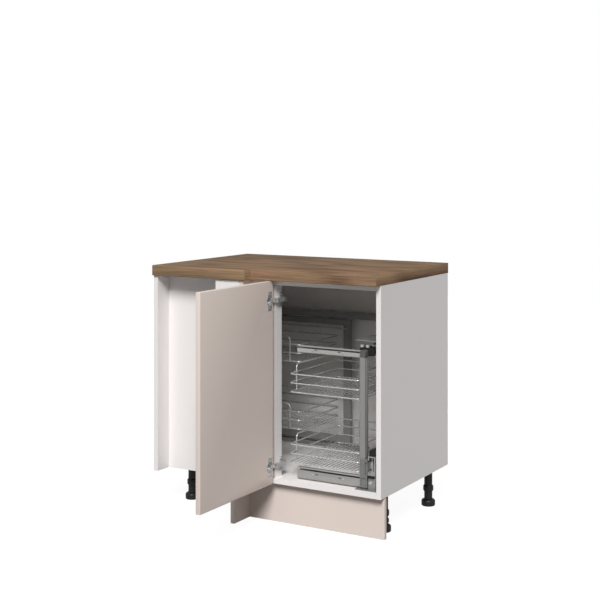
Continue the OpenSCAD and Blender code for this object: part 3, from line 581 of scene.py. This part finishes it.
low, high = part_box("worktop")
step_x = low[0] + DEEP_LENGTH
right_front = low[1] + STEP_DEPTH
worktop = block("worktop_board", low, (step_x, high[1], high[2]))
bpy.ops.object.mode_set(mode="EDIT")
bpy.ops.mesh.select_all(action="SELECT")
bpy.ops.mesh.bisect(plane_co=(0, right_front, 0), plane_no=(0, 1, 0))
found = pick_parts("faces", lambda middle, face: face.normal.x > STRAIGHT and middle.y > right_front)
bpy.ops.mesh.extrude_region_move(TRANSFORM_OT_translate={"value": (high[0] - step_x, 0, 0)})
print("worktop:", found, "face drawn out by", round(high[0] - step_x, 3), "m")

# %% Round the front arrises
TOP_RADIUS = 0.003
WORKTOP_SOFT = 0.0006
LONG_EDGE = 0.1
NEAR = 0.0001


def runs(edge, axis, least):
    """Whether an edge covers at least this length along an axis, 0 to 2."""
    return abs(edge.verts[0].co[axis] - edge.verts[1].co[axis]) > least


def front_arris(middle, edge):
    """Whether an edge lies along one of the two fronts."""
    left_front = abs(middle.y - low[1]) < NEAR
    shallow_front = abs(middle.y - right_front) < NEAR and middle.x > step_x
    return runs(edge, 0, LONG_EDGE) and (left_front or shallow_front)


found = pick_parts("edges", front_arris)
bpy.ops.mesh.bevel(offset=TOP_RADIUS, segments=4, affect="EDGES")
bpy.ops.object.mode_set(mode="OBJECT")
soften(worktop, WORKTOP_SOFT, segments=2)
print(found, "arrises rounded,", len(worktop.data.polygons), "faces")

# %% Faces of the worktop
# The top's walnut is painted darker and the ends' walnut lighter: painted shade and painted light.
FACE_FINISHES = ((walnut_long, lambda middle, face: abs(face.normal.y) > MAINLY),
                 (walnut_end_painted_light, lambda middle, face: abs(face.normal.x) > MAINLY),
                 (backing, lambda middle, face: face.normal.z < -STRAIGHT))

worktop.data.materials.append(walnut_top_painted_shade)
for material, test in FACE_FINISHES:
    worktop.data.materials.append(material)
    bpy.ops.object.mode_set(mode="EDIT")
    found = pick_parts("faces", test)
    worktop.active_material_index = len(worktop.data.materials) - 1
    bpy.ops.object.material_slot_assign()
    bpy.ops.object.mode_set(mode="OBJECT")
    print(found, "faces in", material.name)
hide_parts("worktop")
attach(worktop, "cabinet")

# %% [markdown]
# ## Door
# The door is a fibreboard panel, lacquered all round, so every edge is softened alike and catches a thin
# line of light. Each hinge cup sits in a round bore in its back. The bores could be drawn as dark discs,
# but the cups stand in them and a look along the door would show it. So they are cut with a cylinder, and
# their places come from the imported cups.

# %% Cutting helpers
def combine(piece, other, operation):
    """Joins another solid to the piece, UNION, or cuts it out, DIFFERENCE. The other one goes away."""
    bpy.ops.object.select_all(action="DESELECT")
    piece.select_set(True)
    bpy.context.view_layer.objects.active = piece
    bpy.ops.object.modifier_add(type="BOOLEAN")
    change = piece.modifiers[-1]
    change.object = other
    change.operation = operation
    change.solver = "EXACT"
    bpy.ops.object.modifier_apply(modifier=change.name)
    bpy.data.objects.remove(other)


def coat(piece, material):
    """Gives the piece one finish all over."""
    piece.data.materials.clear()
    piece.data.materials.append(material)


print("combine and coat ready")

# %% Door board
DOOR_RADIUS = 0.0015

low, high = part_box("door")
door = block("door_board", low, high)
soften(door, DOOR_RADIUS, segments=3)
print("door", [round(b - a, 3) for a, b in zip(low, high)])

# %% Cup bores
BORE_WIDTH = 0.0352
BORE_DEPTH = 0.0116

for name in ("hinge_cup_lower", "hinge_cup_upper"):
    cup_low, cup_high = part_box(name)
    middle = [(a + b) / 2 for a, b in zip(cup_low, cup_high)]
    bpy.ops.object.select_all(action="DESELECT")
    bpy.ops.mesh.primitive_cylinder_add(vertices=64, radius=BORE_WIDTH / 2, depth=2 * BORE_DEPTH,
                                        location=(high[0], middle[1], middle[2]),
                                        rotation=(0, QUARTER_TURN, 0))
    combine(door, bpy.context.object, "DIFFERENCE")
bpy.ops.object.shade_smooth_by_angle(angle=SMOOTH_ANGLE)
coat(door, lacquer)
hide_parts("door")
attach(door, "door")
print("door faces", len(door.data.polygons))

# %% [markdown]
# ## Nails of the back panel
# The back panel is nailed on all round. A nail's head is a low dome, which could be spun from a profile,
# but a flattened sphere cut in half has the same form and is quicker. One head is modelled and copied to
# the places of all the others. The copies are joined, as all the nails are one kind of piece.

# %% Places of the nails
NAIL_INSET = 0.009
NAIL_COUNTS = (7, 6)


def spread(first, last, count):
    """Evenly spaced places from first to last."""
    return [first + (last - first) * i / (count - 1) for i in range(count)]


left, right = back_low[0] + NAIL_INSET, back_high[0] - NAIL_INSET
bottom, top = back_low[2] + NAIL_INSET, back_high[2] - NAIL_INSET
spots = [(x, z) for x in spread(left, right, NAIL_COUNTS[0]) for z in (bottom, top)]
spots += [(x, z) for x in (left, right) for z in spread(bottom, top, NAIL_COUNTS[1])[1:-1]]
print(len(spots), "nails in the back panel")

# %% Back nails
NAIL_WIDTH = 0.007
NAIL_RISE = 0.0012
NAIL_SINK = 0.0001

bpy.ops.object.select_all(action="DESELECT")
bpy.ops.mesh.primitive_uv_sphere_add(segments=20, ring_count=10, radius=NAIL_WIDTH / 2)
nail = bpy.context.object
nail.name = "back_nails"
nail.rotation_euler.x = QUARTER_TURN
nail.scale.z = 2 * NAIL_RISE / NAIL_WIDTH
bpy.ops.object.transform_apply(location=True, rotation=True, scale=True)
bpy.ops.object.mode_set(mode="EDIT")
bpy.ops.mesh.select_all(action="SELECT")
bpy.ops.mesh.bisect(plane_co=(0, -NAIL_SINK, 0), plane_no=(0, 1, 0), clear_inner=True, use_fill=True)
bpy.ops.mesh.select_all(action="SELECT")
bpy.ops.mesh.normals_make_consistent(inside=False)
bpy.ops.object.mode_set(mode="OBJECT")
print("nail head", [round(size * 1000, 1) for size in nail.dimensions], "mm")

# %% Copy the nails
nail.location = (spots[0][0], back_high[1], spots[0][1])
for x, z in spots[1:]:
    bpy.ops.object.select_all(action="DESELECT")
    nail.select_set(True)
    bpy.ops.object.duplicate()
    bpy.context.object.location = (x, back_high[1], z)
    bpy.context.view_layer.objects.active = nail
for piece in bpy.data.objects:
    piece.select_set(piece.name.startswith("back_nails"))
bpy.ops.object.join()
nails = bpy.context.object
bpy.ops.object.transform_apply(location=True, rotation=True, scale=True)
bpy.ops.object.shade_smooth_by_angle(angle=SMOOTH_ANGLE)
coat(nails, zinc)
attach(nails, "cabinet")
print("nails joined,", len(nails.data.polygons), "faces")

# %% [markdown]
# ## Column strip
# A grey strip runs down the side of the column that faces the runners. It is painted shade: it makes
# that side the darker one, as it lies in shade. A band of colour could show it, but a strip has a
# thickness and soft edges, so it is a thin block with small bevels. It reaches a little into the column,
# so that no gap shows under it.

# %% Column strip
STRIP_THICK = 0.0012
STRIP_SIDE = 0.002
STRIP_BOTTOM = 0.006
STRIP_TOP = 0.004
STRIP_SOFT = 0.0005
OVERLAP = 0.0002

strip_low = (column_high[0] - OVERLAP, column_low[1] + STRIP_SIDE, column_low[2] + STRIP_BOTTOM)
strip_high = (column_high[0] + STRIP_THICK, column_high[1] - STRIP_SIDE, head_z - STRIP_TOP)
strip = block("column_shade_strip", strip_low, strip_high)
soften(strip, STRIP_SOFT, segments=2)
coat(strip, column_shade_paint)
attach(strip, "front_unit")
print("strip", [round(b - a, 4) for a, b in zip(strip_low, strip_high)])

# %% [markdown]
# ## Runner bars
# The innermost bars of the two runners are hollow sections that stand open at the front, and the
# photograph looks into the lower one. A bar could be a sheet folded round and thickened, but only its
# open end shows. So it is a block whose end face is set in by the thickness of the sheet and pushed back.
# A flat web is joined to it, which ties the bar to the carriage.

# %% Runner bars
SECTION_WIDTH = 0.0134
SECTION_SHEET = 0.0012
HOLLOW = 0.08
WEB_HEIGHT = {"slide_inner_lower": 0.026, "slide_inner_upper": 0.012}
WEB_BACK = 0.100
BAR_SOFT = 0.0003

for name, web_height in WEB_HEIGHT.items():
    low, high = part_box(name)
    middle_z = (low[2] + high[2]) / 2
    section_x = high[0] - SECTION_WIDTH
    web = block("web", (low[0], low[1], middle_z - web_height / 2),
                (section_x + OVERLAP, high[1] - WEB_BACK, middle_z + web_height / 2))
    section = block(name + "_section", (section_x, low[1], low[2]), high)
    bpy.ops.object.mode_set(mode="EDIT")
    pick_parts("faces", lambda middle, face: face.normal.y < -STRAIGHT)
    bpy.ops.mesh.inset(thickness=SECTION_SHEET)
    bpy.ops.mesh.extrude_region_move(TRANSFORM_OT_translate={"value": (0, HOLLOW, 0)})
    bpy.ops.object.mode_set(mode="OBJECT")
    combine(section, web, "UNION")
    soften(section, BAR_SOFT, segments=2)
    coat(section, zinc)
    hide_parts(name)
    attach(section, "front_unit")
    print(name, "is hollow for", HOLLOW, "m,", len(section.data.polygons), "faces")

# %% [markdown]
# ## Lower bar
# The lower bar of the pull-out is a bent channel with a large radius below and a small one above. A
# groove runs along the top of its front, with two slots for the basket's screws below it. A profile drawn
# point by point and drawn out would do, but radii are easier to change on a block. So a block's long
# edges are rounded, its ends are taken away, and the skin that is left gets the thickness of the sheet.
# The groove and slots are then cut.

# %% Lower bar body
SHEET = 0.002
BAR_ROUND = 0.0095
TOP_ROUND = 0.003

low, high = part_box("frame_bar_lower")
bar = block("lower_bar", low, high)
bpy.ops.object.mode_set(mode="EDIT")
for height, radius in ((low[2], BAR_ROUND), (high[2], TOP_ROUND)):
    pick_parts("edges", lambda middle, edge: runs(edge, 0, LONG_EDGE) and abs(middle.z - height) < NEAR)
    bpy.ops.mesh.bevel(offset=radius, segments=6, affect="EDGES")
pick_parts("faces", lambda middle, face: abs(face.normal.x) > STRAIGHT)
bpy.ops.mesh.delete(type="FACE")
bpy.ops.object.mode_set(mode="OBJECT")
bpy.ops.object.modifier_add(type="SOLIDIFY")
skin = bar.modifiers[-1]
skin.thickness = SHEET
skin.use_even_offset = True
bpy.ops.object.modifier_apply(modifier=skin.name)
print("bar", [round(b - a, 4) for a, b in zip(low, high)])

# %% Groove
GROOVE = 0.006
PAST = 0.001

front = low[1] - PAST
behind = low[1] + SHEET + PAST
groove_top = high[2] - SHEET - PAST
groove = block("groove", (low[0] - PAST, front, groove_top - GROOVE), (high[0] + PAST, behind, groove_top))
combine(bar, groove, "DIFFERENCE")
print("groove", GROOVE, "m high")

# %% Slots
SLOT_HEIGHT = 0.0044
SLOT_LENGTH = 0.010
SLOT_INSET = 0.078
SLOT_RISE = 0.54
SLOT_ROUND = 0.49 * SLOT_HEIGHT

slot_z = low[2] + SLOT_RISE * (high[2] - low[2])
for slot_x in (low[0] + SLOT_INSET, high[0] - SLOT_INSET):
    cutter = block("slot", (slot_x - SLOT_LENGTH / 2, front, slot_z - SLOT_HEIGHT / 2),
                   (slot_x + SLOT_LENGTH / 2, behind, slot_z + SLOT_HEIGHT / 2))
    bpy.ops.object.mode_set(mode="EDIT")
    pick_parts("edges", lambda middle, edge: runs(edge, 1, PAST))
    bpy.ops.mesh.bevel(offset=SLOT_ROUND, segments=6, affect="EDGES")
    bpy.ops.object.mode_set(mode="OBJECT")
    combine(bar, cutter, "DIFFERENCE")
soften(bar, BAR_SOFT, segments=2)
coat(bar, bar_dark)
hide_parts("frame_bar_lower")
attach(bar, "front_unit")
print("lower bar:", len(bar.data.polygons), "faces")
